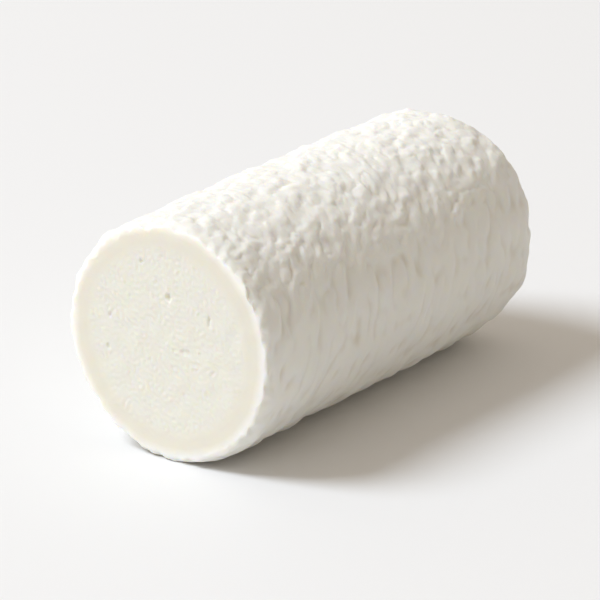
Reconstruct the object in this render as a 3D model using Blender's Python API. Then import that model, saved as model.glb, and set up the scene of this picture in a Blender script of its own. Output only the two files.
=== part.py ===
"""A soft goat cheese log with a wrinkled bloomy rind, lying on its side.

One end is cut square and shows the paste. The other end is whole, with the rind folded over a
rounded edge. The log lies along Y with the cut end at -Y, and rests on a narrow flat spot on z = 0.
Units are metres, and +Z is up. The origin is on the floor under the middle of the log.
"""

import math

import bmesh
import bpy
import numpy as np

# Size of the whole log
LOG_LENGTH = 0.0984
BODY_RADIUS = 0.0250
BELLY = 0.010  # extra radius at mid length, as a share of the body radius
PRESSED = 0.0006  # how far the soft paste has settled into its flat spot

# Cut end: the rind rolls over into the cut, which isn't quite square to the log. The roll is a
# quarter ellipse, larger on the left and underneath, with small bumps where the knife dragged it
CUT_ROLL_DROP = 0.0017
CUT_ROLL_SHIFT = (-0.0004, -0.0002)  # change of the drop to the right and upwards
CUT_ROLL_REACH = 0.0027
EDGE_NICK_PERIOD = 0.0040
EDGE_NICK_DEPTH = 0.00024
EDGE_NICK_REACH = 0.0035
KNIFE_TURN = math.radians(-0.43)  # about +Z
KNIFE_LEAN = math.radians(-0.38)  # about +X
KNIFE_REACH = 0.012  # the slant of the cut fades out of the rind over this length

# Whole end: a round edge, longer along the log than across it, and a slightly domed face
END_ROUND_DROP = 0.0068
END_ROUND_REACH = 0.0096
END_DOME = 0.0006

# The section isn't a true circle: it has sagged a little and has three faint lobes
SAG_SHARE = 0.003
LOBE_COS = -0.005
LOBE_SIN = 0.007

# The rind: rounded lumps that have grown into each other, with short creases between them
LUMP_RADII = (0.0015, 0.0038)
SMALL_LUMP_BIAS = 1.3  # 1 draws all sizes alike, and more draws more of the small ones
LUMP_COVER = 3.2  # how many lumps lie over a place on average
LUMP_FLATNESS = 0.30  # height of a lump over its radius
LUMP_RISE = 0.00015  # how unevenly high the lumps sit
LUMP_SOFTNESS = 0.00009  # how far neighbouring lumps melt together
LUMP_STRETCH = 1.5
LUMP_BEND = 0.00036
LUMP_BEND_PERIOD = 0.005
VALLEY_DEPTH = 0.00022  # no valley between the lumps is much deeper than this
CREASE_PERIOD = 0.0062
CREASE_SPREAD = 0.45  # how much the period varies, as a natural logarithm
CREASE_SHARPNESS = 1.33
CREASE_GAPS = 0.5  # 0 joins every crease, and more leaves more of them open
GAP_STRETCH = 1.3
CREASE_DEPTH = 0.00095
TOP_CREASES = 0.3
SWELL_PERIOD = 0.009
SWELL_DEPTH = 0.00010

# The lumps are full on top. On the sides they are soft and long round the log
RELIEF_ANGLE = math.radians(62)  # full relief this far round from the top
RELIEF_FADE = math.radians(14)
TOP_RELIEF = 0.88
SIDE_RELIEF = 1.0
SIDE_BLUR = 0.00036
SIDE_STRETCH = 2.1
LONG_STRETCH = 1.15
LUMP_SLANT = 0.35  # how far the lumps move round the log for their way along it
CUT_SMOOTH_REACH = 0.0036  # on the sides the rind lies smooth this near the cut
PATTERN_STEP = 0.0002
PATTERN_START = 0.0015  # the pattern starts this far before the cut
PATTERN_SPARE = 0.03  # and is this much longer than the log, to reach over the whole end
RIND_SEED = 7
END_SEED = 19
END_BLEND = (0.35, 0.75)  # share of the round edge over which the end's own pattern takes over

# Holes that the knife opened in the paste: place across and up from the axis, then half width,
# half height and depth
HOLES = (
    (0.0004, 0.0096, 0.00080, 0.00090, 0.0005),
    (-0.0062, 0.0157, 0.00055, 0.00040, 0.0003),
    (-0.0141, 0.0031, 0.00045, 0.00055, 0.0003),
    (-0.0147, -0.0036, 0.00050, 0.00065, 0.0003),
    (0.0103, 0.0068, 0.00035, 0.00120, 0.0003),
    (0.0046, -0.0009, 0.00160, 0.00070, 0.0003),
)

# Fineness of the first, dense skin and of the solid made from it
RING_STEP = 0.00046
SIDE_COLUMNS = 340
TURN_STEPS = 720
FACE_RINGS = 12
SOLID_TRIANGLES = 10600
SHARP_ANGLE = math.radians(50)

CUT_Y = -LOG_LENGTH / 2
END_Y = LOG_LENGTH / 2
END_PATCH = 2.4 * BODY_RADIUS  # width of the whole end's own pattern
SLAB = 0.2  # size of the block that cuts the flat spot, well over the log's own
RIND_COLOUR = (0.88, 0.86, 0.81, 1.0)


def clear_scene():
    for obj in list(bpy.data.objects):
        bpy.data.objects.remove(obj)


def make_material(name, colour, roughness):
    material = bpy.data.materials.new(name)
    material.use_nodes = True
    shader = material.node_tree.nodes["Principled BSDF"]
    shader.inputs["Base Color"].default_value = colour
    shader.inputs["Roughness"].default_value = roughness
    shader.inputs["Metallic"].default_value = 0.0
    return material


def wave_numbers(rows, columns, step):
    """Angular wave numbers along rows and columns of a periodic grid."""
    down = 2 * math.pi * np.fft.fftfreq(rows, step)[:, None]
    across = 2 * math.pi * np.fft.rfftfreq(columns, step)[None, :]
    return down, across


def band_noise(rows, columns, step, seed, period):
    """Smooth random rise and fall at about one period, with a spread of 1."""
    down, across = wave_numbers(rows, columns, step)
    pitch = np.hypot(down, across) * period / (2 * math.pi)
    pitch[0, 0] = np.inf
    keep = np.exp(-((np.log(pitch) / CREASE_SPREAD) ** 2))
    draw = np.random.default_rng(seed)
    waves = np.fft.rfft2(draw.standard_normal((rows, columns))) * keep
    field = np.fft.irfft2(waves, (rows, columns))
    return field / field.std()


def blurred(field, step, reach):
    down, across = wave_numbers(*field.shape, step)
    soft = np.exp(-(down**2 + across**2) * reach**2 / 2)
    return np.fft.irfft2(np.fft.rfft2(field) * soft, field.shape)


def slanted(field):
    """Moves each column a little further round the log than the one before it."""
    rows, columns = field.shape
    shift = np.round(LUMP_SLANT * np.arange(columns)).astype(int)
    row = (np.arange(rows)[:, None] - shift[None, :]) % rows
    return field[row, np.arange(columns)[None, :]]


def sample(field, step, down, across):
    """Reads a periodic field between its points."""
    rows, columns = field.shape
    r, c = down / step, across / step
    r0, c0 = np.floor(r).astype(int), np.floor(c).astype(int)
    fr, fc = r - r0, c - c0
    r1, c1 = (r0 + 1) % rows, (c0 + 1) % columns
    r0, c0 = r0 % rows, c0 % columns
    near = field[r0, c0] * (1 - fc) + field[r0, c1] * fc
    far = field[r1, c0] * (1 - fc) + field[r1, c1] * fc
    return near * (1 - fr) + far * fr


def smooth_step(value):
    value = np.clip(value, 0, 1)
    return value * value * (3 - 2 * value)


def grown_lumps(rows, columns, step, seed):
    """Skin over many rounded lumps that have grown into each other; it repeats both ways."""
    draw = np.random.default_rng(seed)
    small, large = LUMP_RADII
    mean_area = math.pi * (small**2 + small * large + large**2) / 3
    count = int(LUMP_COVER * rows * columns * step**2 / mean_area)
    total = np.full((rows, columns), math.exp(-VALLEY_DEPTH / LUMP_SOFTNESS))
    place = draw.random((count, 2)) * (rows, columns)
    radius = small + (large - small) * draw.random(count) ** SMALL_LUMP_BIAS
    top = LUMP_RISE * draw.standard_normal(count)
    turn = math.pi * draw.random(count)
    stretch = 1 + (LUMP_STRETCH - 1) * draw.random(count)
    for (down, across), size, height, angle, long in zip(place, radius, top, turn, stretch):
        reach = int(size * long / step) + 1
        row = np.arange(int(down) - reach, int(down) + reach + 2)
        column = np.arange(int(across) - reach, int(across) + reach + 2)
        y = (row - down)[:, None] * step
        x = (column - across)[None, :] * step
        u = (x * math.cos(angle) + y * math.sin(angle)) / (size * long)
        v = (y * math.cos(angle) - x * math.sin(angle)) / (size / math.sqrt(long))
        inside = 1 - u * u - v * v
        dome = height + LUMP_FLATNESS * size * (np.sqrt(np.maximum(inside, 0)) - 1)
        lump = np.where(inside > 0, np.exp(dome / LUMP_SOFTNESS), 0)
        total[np.ix_(row % rows, column % columns)] += lump
    return LUMP_SOFTNESS * np.log(total)


def bent(field, step, seed):
    """Shifts a field about by a smooth random amount, so that round lumps become uneven."""
    rows, columns = field.shape
    down, across = np.meshgrid(np.arange(rows) * step, np.arange(columns) * step, indexing="ij")
    down = down + LUMP_BEND * band_noise(rows, columns, step, seed, LUMP_BEND_PERIOD)
    across = across + LUMP_BEND * band_noise(rows, columns, step, seed + 1, LUMP_BEND_PERIOD)
    return sample(field, step, down, across)


def creases(rows, columns, step, seed):
    """Short creases that come and go: 0 between them, down to -1 in them."""
    first = band_noise(rows, columns, step, seed, CREASE_PERIOD)
    second = band_noise(rows, columns, step, seed + 1, GAP_STRETCH * CREASE_PERIOD)
    return -np.exp(-CREASE_SHARPNESS * np.hypot(first, CREASE_GAPS * second))


def relief_map(rows, columns, step, seed, full):
    """Relief of the rind, where full is 1 for full lumps and 0 for the soft ones of the sides."""
    lumps = bent(grown_lumps(rows, columns, step, seed), step, seed + 1)
    height = lumps - lumps.mean()
    height += SWELL_DEPTH * band_noise(rows, columns, step, seed + 2, SWELL_PERIOD)
    height = slanted(height)
    folds = CREASE_DEPTH * slanted(creases(rows, columns, step, seed + 8))
    soft = blurred(SIDE_RELIEF * height + folds, step, SIDE_BLUR)
    return full * (TOP_RELIEF * height + TOP_CREASES * folds) + (1 - full) * soft


def side_relief(angle, path):
    """Relief round the log, by angle and by the way along its skin from the cut."""
    turn = np.linspace(0, 2 * math.pi, TURN_STEPS + 1)
    from_top = np.abs((turn - math.pi / 2 + math.pi) % (2 * math.pi) - math.pi)
    full = smooth_step((RELIEF_ANGLE - from_top) / RELIEF_FADE + 0.5)
    pace = 1 / SIDE_STRETCH + (1 - 1 / SIDE_STRETCH) * full
    travel = np.concatenate([[0], np.cumsum((pace[1:] + pace[:-1]) / 2)]) * (turn[1] - turn[0])
    rows = round(travel[-1] * BODY_RADIUS / PATTERN_STEP)
    step = travel[-1] * BODY_RADIUS / rows
    columns = round((LOG_LENGTH + PATTERN_SPARE) / step)
    row_full = np.interp(np.arange(rows) * step / BODY_RADIUS, travel, full)[:, None]
    relief = relief_map(rows, columns, step, RIND_SEED, row_full)
    down, across = np.meshgrid(np.interp(angle, turn, travel) * BODY_RADIUS,
                               path / LONG_STRETCH + PATTERN_START)
    smooth = 1 - smooth_step(path / CUT_SMOOTH_REACH)[:, None]
    kept = 1 - smooth * (1 - np.interp(angle, turn, full))[None, :]
    return kept * sample(relief, step, down, across)


def edge_nicks(angle, path):
    """Small bumps and nicks along the cut's edge, where the knife dragged the rind."""
    size = round(2 * math.pi * BODY_RADIUS / PATTERN_STEP)
    step = 2 * math.pi * BODY_RADIUS / size
    nicks = band_noise(size, size, step, RIND_SEED + 40, EDGE_NICK_PERIOD)
    down, across = np.meshgrid(angle * BODY_RADIUS, path)
    fade = 1 - smooth_step(path / EDGE_NICK_REACH)[:, None]
    return EDGE_NICK_DEPTH * fade * sample(nicks, step, down, across)


def profile():
    """Half outline of the log from the cut to the middle of the whole end.

    Gives per ring y, radius, the turn of the skin from sideways (0) to endways (1), and how much
    of the roll into the cut the ring has (1 at the cut).
    """
    side_end = END_Y - END_DOME - END_ROUND_REACH
    roll = np.linspace(0, math.pi / 2, round(1.5 * CUT_ROLL_REACH / RING_STEP) + 1)
    near = CUT_Y + CUT_ROLL_REACH * (1 - np.cos(roll))
    y = np.concatenate([near, np.arange(near[-1] + RING_STEP, side_end, RING_STEP)])
    along = (y - CUT_Y) / (side_end - CUT_Y)
    radius = BODY_RADIUS * (1 + BELLY * np.sin(math.pi * along))
    roll_share = np.zeros_like(y)
    roll_share[:len(roll)] = 1 - np.sin(roll)

    round_rings = round(math.pi / 4 * (END_ROUND_DROP + END_ROUND_REACH) / RING_STEP)
    angle = np.linspace(0, math.pi / 2, round_rings + 1)[1:]
    round_y = side_end + END_ROUND_REACH * np.sin(angle)
    round_radius = BODY_RADIUS - END_ROUND_DROP * (1 - np.cos(angle))

    flat_radius = BODY_RADIUS - END_ROUND_DROP
    inward = np.linspace(1, 0, round(flat_radius / RING_STEP) + 1)[1:-1]
    flat_y = END_Y - END_DOME * inward**2

    return (
        np.concatenate([y, round_y, flat_y]),
        np.concatenate([radius, round_radius, flat_radius * inward]),
        np.concatenate([np.zeros_like(y), angle / (math.pi / 2), np.ones_like(inward)]),
        np.concatenate([roll_share, np.zeros(len(angle) + len(inward))]),
    )


def section(angle):
    """Radius of the section over its mean, by angle from +X towards +Z."""
    return (
        1
        + SAG_SHARE * np.cos(2 * angle)
        + LOBE_COS * np.cos(3 * angle)
        + LOBE_SIN * np.sin(3 * angle)
    )


def axis_height():
    angle = np.linspace(0, 2 * math.pi, SIDE_COLUMNS, endpoint=False)
    return -BODY_RADIUS * (section(angle) * np.sin(angle)).min() - PRESSED


def knife_slant(x, z):
    """How far the cut lies behind its middle, at a place across and up from the axis."""
    return x * math.tan(KNIFE_TURN) - z * math.tan(KNIFE_LEAN)


def skin_rings():
    """The dense skin as rings of points, with the lumps raised along its normal."""
    y, radius, turn, roll = profile()
    angle = np.linspace(0, 2 * math.pi, SIDE_COLUMNS, endpoint=False)
    across = np.cos(angle) * section(angle)
    up = np.sin(angle) * section(angle)

    bends = np.hypot(np.diff(y), np.diff(radius - CUT_ROLL_DROP * roll))
    path = np.concatenate([[0], np.cumsum(bends)])
    side_height = side_relief(angle, path) + edge_nicks(angle, path)

    drop = CUT_ROLL_DROP + CUT_ROLL_SHIFT[0] * np.cos(angle) + CUT_ROLL_SHIFT[1] * np.sin(angle)
    radius = radius[:, None] - roll[:, None] * drop[None, :]
    flat_x = radius * across[None, :]
    flat_z = radius * up[None, :]

    end_size = round(END_PATCH / PATTERN_STEP)
    end = relief_map(end_size, end_size, PATTERN_STEP, END_SEED, 1.0)
    end_height = sample(end, PATTERN_STEP, flat_x + END_PATCH / 2, flat_z + END_PATCH / 2)
    share = smooth_step((turn - END_BLEND[0]) / (END_BLEND[1] - END_BLEND[0]))[:, None]
    height = side_height * (1 - share) + end_height * share

    slope = turn[:, None] * math.pi / 2
    x = flat_x + height * np.cos(slope) * across[None, :]
    z = flat_z + height * np.cos(slope) * up[None, :]
    fade = np.clip(1 - (y - CUT_Y) / KNIFE_REACH, 0, 1)[:, None]
    points_y = y[:, None] + height * np.sin(slope) + knife_slant(x, z) * fade
    return np.stack([x, points_y, z], axis=2)


def face_rings(rim):
    """Rings of points on the flat cut, from near its middle out to just inside the rim."""
    share = np.linspace(0, 1, FACE_RINGS + 1)[1:-1, None]
    x = share * rim[None, :, 0]
    z = share * rim[None, :, 2]
    return np.stack([x, CUT_Y + knife_slant(x, z), z], axis=2)


def dense_skin():
    """Closed mesh of the log, before its flat spot and holes are cut."""
    skin = skin_rings()
    rings = np.concatenate([face_rings(skin[0]), skin])
    rings[:, :, 2] += axis_height()
    ring_count, columns, _ = rings.shape
    mesh = bmesh.new()
    grid = [[mesh.verts.new(point) for point in ring] for ring in rings.tolist()]
    first, last = rings[0].mean(axis=0), rings[-1].mean(axis=0)
    first_pole, last_pole = mesh.verts.new(first), mesh.verts.new(last)
    for column in range(columns):
        following = (column + 1) % columns
        for ring in range(ring_count - 1):
            near, far = grid[ring], grid[ring + 1]
            mesh.faces.new((near[column], near[following], far[following], far[column]))
        mesh.faces.new((first_pole, grid[0][following], grid[0][column]))
        mesh.faces.new((last_pole, grid[-1][column], grid[-1][following]))
    bmesh.ops.recalc_face_normals(mesh, faces=mesh.faces)
    data = bpy.data.meshes.new("cheese_log")
    mesh.to_mesh(data)
    mesh.free()
    return data


def add_cutter(name, mesh, place):
    """Makes a hidden object of a bmesh, for a Boolean to take away."""
    data = bpy.data.meshes.new(name)
    mesh.to_mesh(data)
    mesh.free()
    cutter = bpy.data.objects.new(name, data)
    cutter.location = place
    cutter.hide_render = True
    cutter.display_type = "WIRE"
    bpy.context.scene.collection.objects.link(cutter)
    return cutter


def add_floor():
    mesh = bmesh.new()
    bmesh.ops.create_cube(mesh, size=SLAB)
    return add_cutter("floor", mesh, (0, 0, -SLAB / 2))


def add_holes():
    """One hidden cutter that holds a flattened ball for each hole in the cut face."""
    mesh = bmesh.new()
    for across, up, half_width, half_height, depth in HOLES:
        ball = bmesh.ops.create_icosphere(mesh, subdivisions=2, radius=1)["verts"]
        bmesh.ops.scale(mesh, vec=(half_width, depth, half_height), verts=ball)
        bmesh.ops.translate(mesh, vec=(across, knife_slant(across, up), up), verts=ball)
    return add_cutter("holes", mesh, (0, CUT_Y, axis_height()))


def take_away(obj, cutter):
    cut = obj.modifiers.new(cutter.name, "BOOLEAN")
    cut.operation = "DIFFERENCE"
    cut.object = cutter
    cut.solver = "EXACT"


def build_log():
    data = dense_skin()
    log = bpy.data.objects.new("cheese_log", data)
    bpy.context.scene.collection.objects.link(log)
    data.materials.append(make_material("bloomy_rind", RIND_COLOUR, 0.75))

    data.calc_loop_triangles()
    thin = log.modifiers.new("fewer_faces", "DECIMATE")
    thin.ratio = SOLID_TRIANGLES / len(data.loop_triangles)

    take_away(log, add_floor())
    take_away(log, add_holes())
    data.shade_smooth()
    data.set_sharp_from_angle(angle=SHARP_ANGLE)


clear_scene()
build_log()
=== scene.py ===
import math

import bpy
import numpy as np
from mathutils import Matrix, Vector


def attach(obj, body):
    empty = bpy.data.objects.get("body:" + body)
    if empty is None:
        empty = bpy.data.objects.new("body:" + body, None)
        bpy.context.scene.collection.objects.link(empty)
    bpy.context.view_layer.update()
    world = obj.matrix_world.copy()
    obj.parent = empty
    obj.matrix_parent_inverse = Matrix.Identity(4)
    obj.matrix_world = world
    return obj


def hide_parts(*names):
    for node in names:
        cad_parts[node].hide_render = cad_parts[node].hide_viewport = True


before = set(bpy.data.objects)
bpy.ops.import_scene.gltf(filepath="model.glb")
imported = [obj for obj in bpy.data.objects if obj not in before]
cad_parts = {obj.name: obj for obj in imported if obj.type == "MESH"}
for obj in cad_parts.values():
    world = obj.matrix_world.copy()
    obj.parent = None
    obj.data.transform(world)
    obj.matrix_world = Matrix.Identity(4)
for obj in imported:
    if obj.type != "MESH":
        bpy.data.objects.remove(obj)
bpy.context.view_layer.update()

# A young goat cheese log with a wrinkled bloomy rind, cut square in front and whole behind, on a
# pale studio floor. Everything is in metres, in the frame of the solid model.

# The log's form, as in the solid model
LOG_LENGTH = 0.0984
BODY_RADIUS = 0.0250
BELLY = 0.010
PRESSED = 0.0006
PRESSED_SOFTNESS = 0.00012
CUT_ROLL_DROP = 0.0017
CUT_ROLL_SHIFT = (-0.0004, -0.0002)  # the roll is larger on the left and underneath
CUT_ROLL_REACH = 0.0027
EDGE_NICK_PERIOD = 0.0040
EDGE_NICK_DEPTH = 0.00024
EDGE_NICK_REACH = 0.0035
KNIFE_TURN = math.radians(-0.43)
KNIFE_LEAN = math.radians(-0.38)
KNIFE_REACH = 0.012  # the slant of the cut fades out of the skin over this length
END_ROUND_DROP = 0.0068
END_ROUND_REACH = 0.0096
END_DOME = 0.0006
SAG_SHARE = 0.003
LOBE_COS = -0.005
LOBE_SIN = 0.007
CUT_Y = -LOG_LENGTH / 2
END_Y = LOG_LENGTH / 2

# The rind: rounded lumps grown into each other, as in the solid model, with smaller ones on them
LUMP_RADII = (0.0015, 0.0038)
SMALL_LUMP_BIAS = 1.3  # 1 draws all sizes alike, and more draws more of the small ones
LUMP_COVER = 3.2  # how many lumps lie over a place on average
LUMP_FLATNESS = 0.30  # height of a lump over its radius
LUMP_RISE = 0.00015  # how unevenly high the lumps sit
LUMP_SOFTNESS = 0.00009  # how far neighbouring lumps melt together
LUMP_STRETCH = 1.5
VALLEY_SHARE = 1.5  # no valley is much deeper than this many times the rise
LUMP_BEND = 0.00036
LUMP_BEND_PERIOD = 0.005
BUD_RADII = (0.0007, 0.0016)
BUD_COVER = 2.0
BUD_FLATNESS = 0.22
BUD_RISE = 0.00010
BUD_SOFTNESS = 0.00004
BUD_BEND = 0.0002
BUD_BEND_PERIOD = 0.0025
CREASE_PERIOD = 0.0062
CREASE_SPREAD = 0.45  # how much the period varies, as a natural logarithm
CREASE_SHARPNESS = 1.33
CREASE_GAPS = 0.5  # 0 joins every crease, and more leaves more of them open
GAP_STRETCH = 1.3
CREASE_DEPTH = 0.00095  # on the sides, where the creases are the main relief
TOP_CREASES = 0.3
SWELL_PERIOD = 0.009
SWELL_DEPTH = 0.00010
BEND_SPREAD = 0.45
RELIEF_ANGLE = math.radians(62)  # full relief this far round from the top
RELIEF_FADE = math.radians(14)
TOP_RELIEF = 0.88  # share of the lumps' height that is kept on top
SIDE_RELIEF = 1.0  # and on the sides, before they are softened there
SIDE_BLUR = 0.00036
LUMP_BLUR = 0.00027
CUT_SMOOTH_REACH = 0.0036  # on the sides the rind lies smooth this near the cut
HOLLOW_BLUR = 0.0009
HOLLOW_DEPTH = 0.00040  # this far under its surroundings a place gets all of the painted crease shade
SIDE_STRETCH = 2.1  # on the sides the lumps are longer round the log than along it
LONG_STRETCH = 1.15  # and everywhere they are this much longer along it
LUMP_SLANT = 0.35  # the lumps lie slantwise: how far they move round the log along it
PATTERN_STEP = 0.0002
PATTERN_START = 0.0015  # the pattern starts this far before the cut
PATTERN_SPARE = 0.03  # and is this much longer than the log, to reach over the whole end
TURN_STEPS = 720
END_PATCH = 2.4 * BODY_RADIUS  # width of the patterns on the two ends
END_BLEND = (0.35, 0.75)  # share of the round edge over which the end's own pattern takes over
RIND_SEED = 7
NICK_SEED = 47
END_SEED = 19

# The cut face: shallow holes (place across and up, half width, half height, depth) and the fine
# torn grain that a knife leaves in a chalky paste
HOLES = (
    (0.0004, 0.0096, 0.00085, 0.00095, 0.0005),
    (-0.0062, 0.0157, 0.00060, 0.00045, 0.0003),
    (-0.0141, 0.0031, 0.00050, 0.00060, 0.0003),
    (-0.0147, -0.0036, 0.00055, 0.00070, 0.0003),
    (0.0103, 0.0068, 0.00040, 0.00130, 0.0003),
    (0.0046, -0.0009, 0.00170, 0.00080, 0.0003),
)
GRAIN_PERIOD = 0.0013
GRAIN_SPREAD = 0.35
GRAIN_DEPTH = 0.000034
GRAIN_CELLS = 256
GRAIN_SEED = 83
WAVE_PERIOD = 0.006
WAVE_SPREAD = 0.5
WAVE_DEPTH = 0.0000272  # of the broad unevenness under the grain
CREAM_REACH = 0.003  # inside the rim the creamy ring stays smooth this far
CREAM_FADE = 0.0025
CREAM_GRAIN = 0.25  # share of the grain that the creamy ring has
RIM_REACH = 0.003  # the rings of the face take the rim's own outline over this length
FACE_MIDDLE = 0.0002  # the innermost ring lies no nearer the middle than this
CORE_RADIUS = 0.0178
CREAM_CENTRE = 0.0004  # the ripened ring's middle lies this far over the log's
RING_WANDER = 0.0016  # how raggedly the ring runs

# Where the paste ends: how far a face of the mesh may lie behind the cut, near the rim and
# elsewhere, and how squarely it has to look forwards
RIM_WIDTH = 0.0016
RIM_DEEPEST = 0.0003
FACE_DEEPEST = 0.0009
FACE_TURN = -0.55

COLUMNS = 640
RING_STEP = 0.00024
ROLL_FINENESS = 1.5  # the rings lie this much closer on the roll into the cut
SECTION_STEPS = 340
RIM_RINGS = (5, 3)  # rings inside and outside the rim that keep all their faces
MOST_TRIANGLES = 190_000  # of the whole skin

# Camera: fitted to the log's outline in the photograph
CAMERA_ROUND = math.radians(35.80)
CAMERA_UP = math.radians(19.66)
CAMERA_AWAY = 0.9236
CAMERA_SLIDE = (-0.00265, 0.01827)
CAMERA_SHIFT_Y = -0.0003
SENSOR = 36.0
LENS = 270.0

# Light: one soft window of light from the left, in front and above, and a pale room
KEY_ROUND = math.radians(50)
KEY_UP = math.radians(51.0)
KEY_AWAY = 4.5
KEY_WIDE = 2.0
KEY_POWER = 185.0
KEY_COLOUR = (0.84, 0.91, 1.0)
ROOM_STRENGTH = 0.456
ROOM_COLOUR = (1.0, 0.89, 0.76, 1.0)
ROOM_TOP_SHARE = 0.24  # how much brighter the ceiling is than the walls
ROOM_RIGHT_SHARE = 0.30  # how much darker the wall on the right is


def linear(code, alpha=1.0):
    """An sRGB hex colour as linear numbers."""
    parts = [int(code[i:i + 2], 16) / 255 for i in (1, 3, 5)]
    return [c / 12.92 if c <= 0.04045 else ((c + 0.055) / 1.055) ** 2.4 for c in parts] + [alpha]


# Patterns of the rind and the paste


def wave_numbers(rows, columns, step):
    """Angular wave numbers along rows and columns of a periodic grid."""
    down = 2 * math.pi * np.fft.fftfreq(rows, step)[:, None]
    across = 2 * math.pi * np.fft.rfftfreq(columns, step)[None, :]
    return down, across


def band_noise(rows, columns, step, seed, period, spread):
    """Smooth random rise and fall at about one period, with a spread of 1."""
    down, across = wave_numbers(rows, columns, step)
    pitch = np.maximum(np.hypot(down, across), 1e-3) * period / (2 * math.pi)
    keep = np.exp(-((np.log(pitch) / spread) ** 2))
    draw = np.random.default_rng(seed)
    waves = np.fft.rfft2(draw.standard_normal((rows, columns))) * keep
    field = np.fft.irfft2(waves, (rows, columns))
    return field / field.std()


def blurred(field, step, reach):
    down, across = wave_numbers(*field.shape, step)
    soft = np.exp(-(down**2 + across**2) * reach**2 / 2)
    return np.fft.irfft2(np.fft.rfft2(field) * soft, field.shape)


def grown_lumps(rows, columns, step, seed, radii, cover, flatness, rise, softness):
    """Skin over many rounded lumps that have grown into each other; it repeats both ways."""
    draw = np.random.default_rng(seed)
    small, large = radii
    mean_area = math.pi * (small**2 + small * large + large**2) / 3
    count = int(cover * rows * columns * step**2 / mean_area)
    total = np.full((rows, columns), math.exp(-VALLEY_SHARE * rise / softness))
    place = draw.random((count, 2)) * (rows, columns)
    radius = small + (large - small) * draw.random(count) ** SMALL_LUMP_BIAS
    top = rise * draw.standard_normal(count)
    turn = math.pi * draw.random(count)
    stretch = 1 + (LUMP_STRETCH - 1) * draw.random(count)
    for (down, across), size, height, angle, long in zip(place, radius, top, turn, stretch):
        reach = int(size * long / step) + 1
        row = np.arange(int(down) - reach, int(down) + reach + 2)
        column = np.arange(int(across) - reach, int(across) + reach + 2)
        y = (row - down)[:, None] * step
        x = (column - across)[None, :] * step
        u = (x * math.cos(angle) + y * math.sin(angle)) / (size * long)
        v = (y * math.cos(angle) - x * math.sin(angle)) / (size / math.sqrt(long))
        inside = 1 - u * u - v * v
        dome = height + flatness * size * (np.sqrt(np.maximum(inside, 0)) - 1)
        total[np.ix_(row % rows, column % columns)] += np.where(
            inside > 0, np.exp(dome / softness), 0)
    return softness * np.log(total)


def bent(field, step, seed, period, reach):
    """Shifts a field about by a smooth random amount, so that round lumps become uneven."""
    rows, columns = field.shape
    down, across = np.meshgrid(np.arange(rows) * step, np.arange(columns) * step, indexing="ij")
    down = down + reach * band_noise(rows, columns, step, seed, period, BEND_SPREAD)
    across = across + reach * band_noise(rows, columns, step, seed + 1, period, BEND_SPREAD)
    return sample(field, step, down, across)


def creases(rows, columns, step, seed):
    """Short creases that come and go: 0 between them, down to -1 in them."""
    first = band_noise(rows, columns, step, seed + 8, CREASE_PERIOD, CREASE_SPREAD)
    second = band_noise(rows, columns, step, seed + 9, GAP_STRETCH * CREASE_PERIOD,
                        CREASE_SPREAD)
    field = -np.exp(-CREASE_SHARPNESS * np.hypot(first, CREASE_GAPS * second))
    return bent(field, step, seed + 10, BUD_BEND_PERIOD, BUD_BEND)


def slanted(field):
    """Moves each column a little further round the log than the one before it."""
    rows, columns = field.shape
    shift = np.round(LUMP_SLANT * np.arange(columns)).astype(int)
    row = (np.arange(rows)[:, None] - shift[None, :]) % rows
    return field[row, np.arange(columns)[None, :]]


def rind_height(rows, columns, step, seed):
    """Height of the rind's lumps over the body radius."""
    lumps = grown_lumps(rows, columns, step, seed, LUMP_RADII, LUMP_COVER, LUMP_FLATNESS,
                        LUMP_RISE, LUMP_SOFTNESS)
    lumps = bent(lumps, step, seed + 1, LUMP_BEND_PERIOD, LUMP_BEND)
    buds = grown_lumps(rows, columns, step, seed + 5, BUD_RADII, BUD_COVER, BUD_FLATNESS,
                       BUD_RISE, BUD_SOFTNESS)
    buds = bent(buds, step, seed + 6, BUD_BEND_PERIOD, BUD_BEND)
    swell = SWELL_DEPTH * band_noise(rows, columns, step, seed + 2, SWELL_PERIOD, BEND_SPREAD)
    return lumps - lumps.mean() + buds - buds.mean() + swell


def sample(field, step, down, across):
    """Reads a periodic field between its points."""
    rows, columns = field.shape
    r, c = down / step, across / step
    r0, c0 = np.floor(r).astype(int), np.floor(c).astype(int)
    fr, fc = r - r0, c - c0
    r1, c1 = (r0 + 1) % rows, (c0 + 1) % columns
    r0, c0 = r0 % rows, c0 % columns
    near = field[r0, c0] * (1 - fc) + field[r0, c1] * fc
    far = field[r1, c0] * (1 - fc) + field[r1, c1] * fc
    return near * (1 - fr) + far * fr


# The log


def section(angle):
    """Radius of the section over its mean, by angle from +X towards +Z."""
    return (
        1
        + SAG_SHARE * np.cos(2 * angle)
        + LOBE_COS * np.cos(3 * angle)
        + LOBE_SIN * np.sin(3 * angle)
    )


def axis_height():
    angle = np.linspace(0, 2 * math.pi, SECTION_STEPS, endpoint=False)
    return -BODY_RADIUS * (section(angle) * np.sin(angle)).min() - PRESSED


AXIS_Z = axis_height()


def knife_slant(x, z):
    """How far the cut lies behind its middle, at a place across and up from the axis."""
    return x * math.tan(KNIFE_TURN) - z * math.tan(KNIFE_LEAN)


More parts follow.
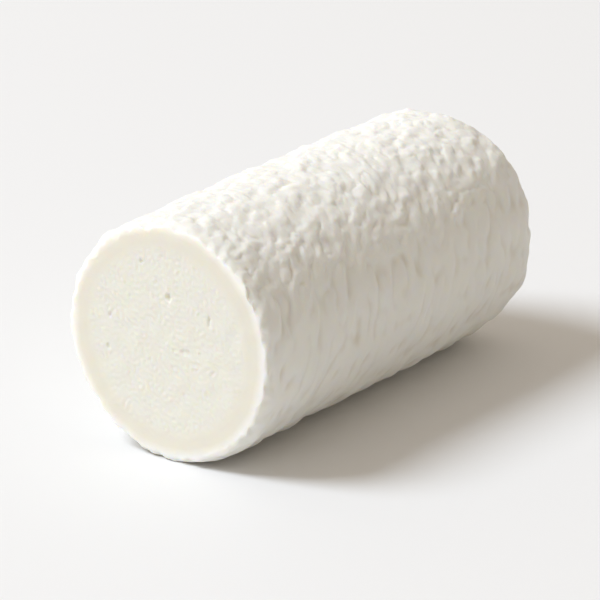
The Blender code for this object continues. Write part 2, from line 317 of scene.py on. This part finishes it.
def profile():
    """Half outline from the cut to the middle of the whole end: y, radius, turn (0 side, 1 end)
    and how much of the roll at the cut it has (1 at the cut)."""
    side_end = END_Y - END_DOME - END_ROUND_REACH
    roll_rings = round(ROLL_FINENESS * CUT_ROLL_REACH / RING_STEP)
    roll = np.linspace(0, math.pi / 2, roll_rings + 1)
    near = CUT_Y + CUT_ROLL_REACH * (1 - np.cos(roll))
    y = np.concatenate([near, np.arange(near[-1] + RING_STEP, side_end, RING_STEP)])
    along = (y - CUT_Y) / (side_end - CUT_Y)
    radius = BODY_RADIUS * (1 + BELLY * np.sin(math.pi * along))
    roll_share = np.zeros_like(y)
    roll_share[:len(roll)] = 1 - np.sin(roll)

    round_rings = round(math.pi / 4 * (END_ROUND_DROP + END_ROUND_REACH) / RING_STEP)
    angle = np.linspace(0, math.pi / 2, round_rings + 1)[1:]
    flat_radius = BODY_RADIUS - END_ROUND_DROP
    inward = np.linspace(1, 0, round(flat_radius / RING_STEP) + 1)[1:-1]
    return (
        np.concatenate([
            y, side_end + END_ROUND_REACH * np.sin(angle), END_Y - END_DOME * inward**2,
        ]),
        np.concatenate([
            radius, BODY_RADIUS - END_ROUND_DROP * (1 - np.cos(angle)), flat_radius * inward,
        ]),
        np.concatenate([np.zeros_like(y), angle / (math.pi / 2), np.ones_like(inward)]),
        np.concatenate([roll_share, np.zeros(len(angle) + len(inward))]),
    )


def smooth_step(value):
    value = np.clip(value, 0, 1)
    return value * value * (3 - 2 * value)


def relief_map(rows, columns, step, seed, full):
    """Relief of the rind, and how hollow each place is (0 to 1, for the painted crease shade); full
    is 1 where lumps are full.
    """
    folds = CREASE_DEPTH * slanted(creases(rows, columns, step, seed))
    height = slanted(rind_height(rows, columns, step, seed))
    height = blurred(height, step, LUMP_BLUR)
    soft = SIDE_RELIEF * height + folds
    firm = TOP_RELIEF * height + TOP_CREASES * folds
    relief = full * firm + (1 - full) * blurred(soft, step, SIDE_BLUR)
    around = blurred(relief, step, HOLLOW_BLUR)
    return relief, np.clip((around - relief) / HOLLOW_DEPTH, 0, 1)


def side_relief(angle, path):
    """The relief round the log: full lumps on top, softer and longer ones on the sides."""
    turn = np.linspace(0, 2 * math.pi, TURN_STEPS + 1)
    from_top = np.abs((turn - math.pi / 2 + math.pi) % (2 * math.pi) - math.pi)
    full = smooth_step((RELIEF_ANGLE - from_top) / RELIEF_FADE + 0.5)
    pace = 1 / SIDE_STRETCH + (1 - 1 / SIDE_STRETCH) * full
    travel = np.concatenate([[0], np.cumsum((pace[1:] + pace[:-1]) / 2)]) * (turn[1] - turn[0])
    rows = round(travel[-1] * BODY_RADIUS / PATTERN_STEP)
    step = travel[-1] * BODY_RADIUS / rows
    columns = round((LOG_LENGTH + PATTERN_SPARE) / step)
    row_full = np.interp(np.arange(rows) * step / BODY_RADIUS, travel, full)[:, None]
    relief, hollow = relief_map(rows, columns, step, RIND_SEED, row_full)
    down, across = np.meshgrid(np.interp(angle, turn, travel) * BODY_RADIUS,
                               path / LONG_STRETCH + PATTERN_START)
    smooth = 1 - smooth_step(path / CUT_SMOOTH_REACH)[:, None]
    kept = 1 - smooth * (1 - np.interp(angle, turn, full))[None, :]
    return kept * sample(relief, step, down, across), kept * sample(hollow, step, down, across)


def edge_nicks(angle, path):
    """Small bumps and nicks along the cut's edge, where the knife dragged the skin."""
    size = round(2 * math.pi * BODY_RADIUS / PATTERN_STEP)
    step = 2 * math.pi * BODY_RADIUS / size
    nicks = band_noise(size, size, step, NICK_SEED, EDGE_NICK_PERIOD, CREASE_SPREAD)
    down, across = np.meshgrid(angle * BODY_RADIUS, path)
    fade = 1 - smooth_step(path / EDGE_NICK_REACH)[:, None]
    return EDGE_NICK_DEPTH * fade * sample(nicks, step, down, across)


def skin_rings(angle):
    """Rings of points round the rind, from the cut to the whole end."""
    y, radius, turn, roll = profile()
    across = np.cos(angle) * section(angle)
    up = np.sin(angle) * section(angle)

    bends = np.hypot(np.diff(y), np.diff(radius - CUT_ROLL_DROP * roll))
    path = np.concatenate([[0], np.cumsum(bends)])
    side, hollow = side_relief(angle, path)
    side += edge_nicks(angle, path)

    end_size = round(END_PATCH / PATTERN_STEP)
    end, end_hollow = relief_map(end_size, end_size, PATTERN_STEP, END_SEED, 1.0)
    drop = CUT_ROLL_DROP + CUT_ROLL_SHIFT[0] * np.cos(angle) + CUT_ROLL_SHIFT[1] * np.sin(angle)
    radius = radius[:, None] - roll[:, None] * drop[None, :]
    flat_x = radius * across[None, :]
    flat_z = radius * up[None, :]
    end_place = (PATTERN_STEP, flat_x + END_PATCH / 2, flat_z + END_PATCH / 2)

    share = smooth_step((turn - END_BLEND[0]) / (END_BLEND[1] - END_BLEND[0]))[:, None]
    height = side * (1 - share) + sample(end, *end_place) * share
    hollow = hollow * (1 - share) + sample(end_hollow, *end_place) * share

    slope = turn[:, None] * math.pi / 2
    x = flat_x + height * np.cos(slope) * across[None, :]
    z = flat_z + height * np.cos(slope) * up[None, :]
    fade = np.clip(1 - (y - CUT_Y) / KNIFE_REACH, 0, 1)[:, None]
    points_y = y[:, None] + height * np.sin(slope) + knife_slant(x, z) * fade
    return np.stack([x, points_y, z], axis=2), hollow


def face_rings(rim):
    """Rings of points on the cut face, from just inside the rim to near its middle."""
    rim_radius = np.hypot(rim[:, 0], rim[:, 2])
    outward = rim[:, [0, 2]] / rim_radius[:, None]
    mean = rim_radius.mean()
    inward = np.arange(RING_STEP, mean - FACE_MIDDLE, RING_STEP)
    own = np.clip(1 - inward / RIM_REACH, 0, 1)[:, None]
    radius = mean - inward[:, None] + (rim_radius - mean)[None, :] * own
    x = radius * outward[None, :, 0]
    z = radius * outward[None, :, 1]

    step = END_PATCH / GRAIN_CELLS
    cells = (GRAIN_CELLS, GRAIN_CELLS, step)
    place = (step, x + END_PATCH / 2, z + END_PATCH / 2)
    grain = sample(band_noise(*cells, GRAIN_SEED, GRAIN_PERIOD, GRAIN_SPREAD), *place)
    waves = sample(band_noise(*cells, GRAIN_SEED + 1, WAVE_PERIOD, WAVE_SPREAD), *place)
    core = smooth_step((inward - CREAM_REACH) / CREAM_FADE)[:, None]
    kept = CREAM_GRAIN + (1 - CREAM_GRAIN) * core
    depth = GRAIN_DEPTH * kept * grain + WAVE_DEPTH * waves

    for across, up, half_width, half_height, deep in HOLES:
        away = ((x - across) / half_width) ** 2 + ((z - up) / half_height) ** 2
        depth += deep * np.clip(1 - away, 0, 1)
    return np.stack([x, CUT_Y + knife_slant(x, z) + depth, z], axis=2)


def faces_between(rings, columns):
    """Quads between rings of points, facing outwards."""
    ring, column = np.meshgrid(np.arange(rings - 1), np.arange(columns), indexing="ij")
    a = ring * columns + column
    b = ring * columns + (column + 1) % columns
    return np.stack([a, a + columns, b + columns, b], axis=-1).reshape(-1, 4)


def log_mesh():
    """One closed skin: cut face, rind and whole end."""
    angle = np.linspace(0, 2 * math.pi, COLUMNS, endpoint=False)
    skin, hollow = skin_rings(angle)
    face = face_rings(skin[0])
    rings = np.concatenate([face[::-1], skin])
    points = rings.reshape(-1, 3)
    poles = np.stack([rings[0].mean(axis=0), rings[-1].mean(axis=0)])
    points = np.concatenate([points, poles])
    hollow = np.concatenate([np.zeros(face.shape[0] * COLUMNS), hollow.ravel(), [0, 0]])
    points[:, 2] += AXIS_Z
    low = points[:, 2]
    points[:, 2] = 0.5 * (low + np.sqrt(low**2 + PRESSED_SOFTNESS**2))

    quads = faces_between(len(rings), COLUMNS)
    column = np.arange(COLUMNS)
    following = (column + 1) % COLUMNS
    last = (len(rings) - 1) * COLUMNS
    near_pole = np.stack([np.full(COLUMNS, len(points) - 2), column, following], axis=-1)
    far_pole = np.stack([
        np.full(COLUMNS, len(points) - 1), last + following, last + column,
    ], axis=-1)
    mesh = bpy.data.meshes.new("log_skin")
    mesh.from_pydata(points.tolist(), [], quads.tolist() + near_pole.tolist() + far_pole.tolist())
    # how hollow each point is, which sets the painted shade in the rind's creases
    mesh.attributes.new("crease_shade", "FLOAT", "POINT").data.foreach_set(
        "value", hollow.astype(np.float32))
    rim_guard = np.zeros(len(points))
    rim = len(face) * COLUMNS
    inside, outside = RIM_RINGS
    rim_guard[rim - inside * COLUMNS:rim + outside * COLUMNS] = 1
    return mesh, rim_guard


def thinned(mesh, rim_guard):
    """The same skin with fewer triangles, and all of those round the rim."""
    dense = bpy.data.objects.new("dense_skin", mesh)
    bpy.context.scene.collection.objects.link(dense)
    group = dense.vertex_groups.new(name="free")
    group.add([int(i) for i in np.flatnonzero(rim_guard < 0.5)], 1.0, "REPLACE")
    mesh.calc_loop_triangles()
    count = len(mesh.loop_triangles)
    if count > MOST_TRIANGLES:
        fewer = dense.modifiers.new("fewer", "DECIMATE")
        fewer.ratio = MOST_TRIANGLES / count
        fewer.vertex_group = "free"
        fewer.vertex_group_factor = 1.0
    state = bpy.context.evaluated_depsgraph_get()
    skin = bpy.data.meshes.new_from_object(dense.evaluated_get(state))
    bpy.data.objects.remove(dense)
    return skin


def mark_paste(skin):
    """Gives the flat cut the second material, the paste, and leaves the rest to the rind."""
    count = len(skin.polygons)
    centre = np.zeros(count * 3, np.float32)
    normal = np.zeros(count * 3, np.float32)
    skin.polygons.foreach_get("center", centre)
    skin.polygons.foreach_get("normal", normal)
    centre, normal = centre.reshape(-1, 3), normal.reshape(-1, 3)
    across, up = centre[:, 0], centre[:, 2] - AXIS_Z
    behind = centre[:, 1] - CUT_Y - knife_slant(across, up)
    near_rim = np.hypot(across, up) > BODY_RADIUS - RIM_WIDTH
    deepest = np.where(near_rim, RIM_DEEPEST, FACE_DEEPEST)
    on_face = (behind <= deepest) & (normal[:, 1] < FACE_TURN)
    skin.polygons.foreach_set("material_index", on_face.astype(np.int32))
    skin.polygons.foreach_set("use_smooth", np.ones(count, bool))
    skin.update()


def build_log():
    skin = thinned(*log_mesh())
    skin.name = "goat_cheese_log"
    log = bpy.data.objects.new("goat_cheese_log", skin)
    bpy.context.scene.collection.objects.link(log)
    skin.materials.clear()
    skin.materials.append(bloomy_rind())
    skin.materials.append(cut_paste())
    mark_paste(skin)
    return log


# Materials


def add(tree, kind, values=None, links=None, **settings):
    """Adds a node with its options, its sockets' values and the links that come in."""
    node = tree.nodes.new(kind)
    for name, value in settings.items():
        setattr(node, name, value)
    for socket, value in (values or {}).items():
        node.inputs[socket].default_value = value
    for socket, source in (links or {}).items():
        tree.links.new(source, node.inputs[socket])
    return node


def blank(name):
    material = bpy.data.materials.new(name)
    material.use_nodes = True
    material.node_tree.nodes.clear()
    return material, material.node_tree


def bloomy_rind():
    """White mould rind, grown and patted down: dry, velvety, a little see-through at the surface."""
    material, tree = blank("white_mould_rind_grown")
    place = add(tree, "ShaderNodeTexCoord").outputs["Object"]
    patches = add(tree, "ShaderNodeTexNoise", {"Scale": 90, "Detail": 2}, {"Vector": place})
    tint = add(tree, "ShaderNodeMix", data_type="RGBA")
    tint.inputs[6].default_value = linear("#F0EFEA")
    tint.inputs[7].default_value = linear("#EDECE4")
    tree.links.new(patches.outputs["Fac"], tint.inputs[0])

    # painted shade: the creases are coloured darker and creamier, standing for the shade in them and
    # for the curd's cream colour showing through the thinner mould there
    crease_shade = add(tree, "ShaderNodeAttribute", attribute_name="crease_shade").outputs["Fac"]
    crease_shade_share = add(tree, "ShaderNodeMapRange", {"From Min": 0.1, "From Max": 1.0, "To Max": 0.8},
               {"Value": crease_shade})
    colour = add(tree, "ShaderNodeMix", data_type="RGBA")
    colour.inputs[7].default_value = linear("#DCD5C6")
    tree.links.new(crease_shade_share.outputs["Result"], colour.inputs[0])
    tree.links.new(tint.outputs[2], colour.inputs[6])

    # tufts of mould about 1.6 mm apart, pushed about so that they aren't round
    sway = add(tree, "ShaderNodeTexNoise", {"Scale": 420, "Detail": 1}, {"Vector": place})
    moved = add(tree, "ShaderNodeVectorMath", {1: (0.0011, 0.0011, 0.0011)},
                {0: sway.outputs["Color"], 2: place}, operation="MULTIPLY_ADD")
    tufts = add(tree, "ShaderNodeTexVoronoi", {"Scale": 620, "Smoothness": 0.35},
                {"Vector": moved.outputs[0]}, feature="SMOOTH_F1")
    round_tufts = add(tree, "ShaderNodeBump", {"Strength": 0.08, "Distance": 0.00050},
                      {"Height": tufts.outputs["Distance"]}, invert=True)
    # velvet of the mould: its threads are about 0.02 mm, drawn at 0.1 to 0.4 mm so that they show
    velvet = add(tree, "ShaderNodeTexNoise", {"Scale": 2600, "Detail": 2, "Roughness": 0.6},
                 {"Vector": place})
    bump = add(tree, "ShaderNodeBump", {"Strength": 0.35, "Distance": 0.00010},
               {"Height": velvet.outputs["Fac"], "Normal": round_tufts.outputs["Normal"]})
    shader = add(tree, "ShaderNodeBsdfPrincipled", {
        "Roughness": 0.72, "IOR": 1.42, "Specular IOR Level": 0.35,
        "Subsurface Weight": 1.0, "Subsurface Radius": (1.0, 0.85, 0.62),
        "Subsurface Scale": 0.0007, "Sheen Weight": 0.08, "Sheen Roughness": 0.5,
    }, {"Base Color": colour.outputs[2], "Normal": bump.outputs["Normal"]})
    add(tree, "ShaderNodeOutputMaterial", links={"Surface": shader.outputs["BSDF"]})
    return material


def cut_paste():
    """Lactic curd, cut with a knife: a chalky white core and a smoother, creamier ring."""
    material, tree = blank("lactic_curd_cut")
    place = add(tree, "ShaderNodeTexCoord").outputs["Object"]
    parts = add(tree, "ShaderNodeSeparateXYZ", links={"Vector": place})
    wander = add(tree, "ShaderNodeTexNoise", {"Scale": 160, "Detail": 3}, {"Vector": place})
    off_z = add(tree, "ShaderNodeMath", {1: AXIS_Z + CREAM_CENTRE}, {0: parts.outputs["Z"]},
                operation="SUBTRACT")
    flat = add(tree, "ShaderNodeCombineXYZ",
               links={"X": parts.outputs["X"], "Y": off_z.outputs[0]})
    away = add(tree, "ShaderNodeVectorMath", links={0: flat.outputs[0]}, operation="LENGTH")
    ragged = add(tree, "ShaderNodeMath", {1: RING_WANDER, 2: -RING_WANDER / 2},
                 {0: wander.outputs["Fac"]}, operation="MULTIPLY_ADD")
    reach = add(tree, "ShaderNodeMath", links={0: away.outputs["Value"], 1: ragged.outputs[0]},
                operation="ADD")
    zones = add(tree, "ShaderNodeValToRGB")
    share = add(tree, "ShaderNodeMapRange", {"From Min": CORE_RADIUS, "From Max": BODY_RADIUS},
                {"Value": reach.outputs[0]})
    tree.links.new(share.outputs["Result"], zones.inputs["Fac"])
    stops = (
        (0.0, "#EBE9DF"),
        (0.16, "#EBE8DC"),
        (0.34, "#E9E5D8"),
        (0.57, "#EAE6D9"),
        (0.70, "#F1EEE5"),
        (0.80, "#F6F4EF"),
    )
    ramp = zones.color_ramp
    while len(ramp.elements) < len(stops):
        ramp.elements.new(0.5)
    for element, (position, code) in zip(ramp.elements, stops):
        element.position = position
        element.color = linear(code)
    grain = add(tree, "ShaderNodeTexNoise", {"Scale": 1100, "Detail": 3, "Roughness": 0.6},
                {"Vector": place})
    bump = add(tree, "ShaderNodeBump", {"Strength": 0.3, "Distance": 0.00012},
               {"Height": grain.outputs["Fac"]})
    shader = add(tree, "ShaderNodeBsdfPrincipled", {
        "Roughness": 0.55, "IOR": 1.42, "Specular IOR Level": 0.35,
        "Subsurface Weight": 1.0, "Subsurface Radius": (1.0, 0.8, 0.5),
        "Subsurface Scale": 0.0022,
    }, {"Base Color": zones.outputs["Color"], "Normal": bump.outputs["Normal"]})
    add(tree, "ShaderNodeOutputMaterial", links={"Surface": shader.outputs["BSDF"]})
    return material


def studio_floor():
    """Matt white laminated board."""
    material, tree = blank("matt_white_board")
    shader = add(tree, "ShaderNodeBsdfPrincipled", {
        "Base Color": linear("#EAEAEA"), "Roughness": 0.6, "Specular IOR Level": 0.25,
    })
    add(tree, "ShaderNodeOutputMaterial", links={"Surface": shader.outputs["BSDF"]})
    half = 4.0
    mesh = bpy.data.meshes.new("floor")
    mesh.from_pydata([(-half, -half, 0), (half, -half, 0), (half, half, 0), (-half, half, 0)],
                     [], [(0, 1, 2, 3)])
    mesh.materials.append(material)
    floor = bpy.data.objects.new("floor", mesh)
    bpy.context.scene.collection.objects.link(floor)


# Camera and light


def direction(round_angle, up_angle):
    """From the log towards a point that is so far round (0 is in front of the cut) and up."""
    return Vector((
        math.sin(round_angle) * math.cos(up_angle),
        -math.cos(round_angle) * math.cos(up_angle),
        math.sin(up_angle),
    ))


def add_camera():
    back = direction(CAMERA_ROUND, CAMERA_UP)
    right = (-back).cross(Vector((0, 0, 1))).normalized()
    up = right.cross(-back)
    data = bpy.data.cameras.new("camera")
    data.sensor_width = SENSOR
    data.lens = LENS
    data.clip_start, data.clip_end = 0.05, 20.0
    camera = bpy.data.objects.new("camera", data)
    place = back * CAMERA_AWAY + right * CAMERA_SLIDE[0] + up * CAMERA_SLIDE[1]
    place.y += CAMERA_SHIFT_Y
    turn = Matrix((right, up, back)).transposed().to_4x4()
    camera.matrix_world = Matrix.Translation(place) @ turn
    bpy.context.scene.collection.objects.link(camera)
    bpy.context.scene.camera = camera


def add_window():
    data = bpy.data.lights.new("window", "AREA")
    data.shape = "DISK"
    data.size = KEY_WIDE
    data.energy = KEY_POWER
    data.color = KEY_COLOUR
    window = bpy.data.objects.new("window", data)
    towards = direction(-KEY_ROUND, KEY_UP)
    window.location = towards * KEY_AWAY
    window.rotation_mode = "QUATERNION"
    window.rotation_quaternion = (-towards).to_track_quat("-Z", "Y")
    bpy.context.scene.collection.objects.link(window)


def add_room():
    """A pale room, brighter at the ceiling and darker on the right."""
    world = bpy.data.worlds.new("room")
    world.use_nodes = True
    world.node_tree.nodes.clear()
    way = add(world.node_tree, "ShaderNodeTexCoord").outputs["Generated"]
    slope = (-ROOM_RIGHT_SHARE * ROOM_STRENGTH, 0, ROOM_TOP_SHARE * ROOM_STRENGTH)
    change = add(world.node_tree, "ShaderNodeVectorMath", {1: slope}, {0: way},
                 operation="DOT_PRODUCT")
    strength = add(world.node_tree, "ShaderNodeMath", {1: ROOM_STRENGTH},
                   {0: change.outputs["Value"]}, operation="ADD")
    room = add(world.node_tree, "ShaderNodeBackground", {"Color": ROOM_COLOUR},
               {"Strength": strength.outputs[0]})
    add(world.node_tree, "ShaderNodeOutputWorld", links={"Surface": room.outputs[0]})
    bpy.context.scene.world = world


add_camera()
add_window()
add_room()
studio_floor()
log = build_log()
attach(log, "root")
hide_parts("cheese_log")

view = bpy.context.scene.view_settings
view.view_transform = "Standard"
view.look = "None"
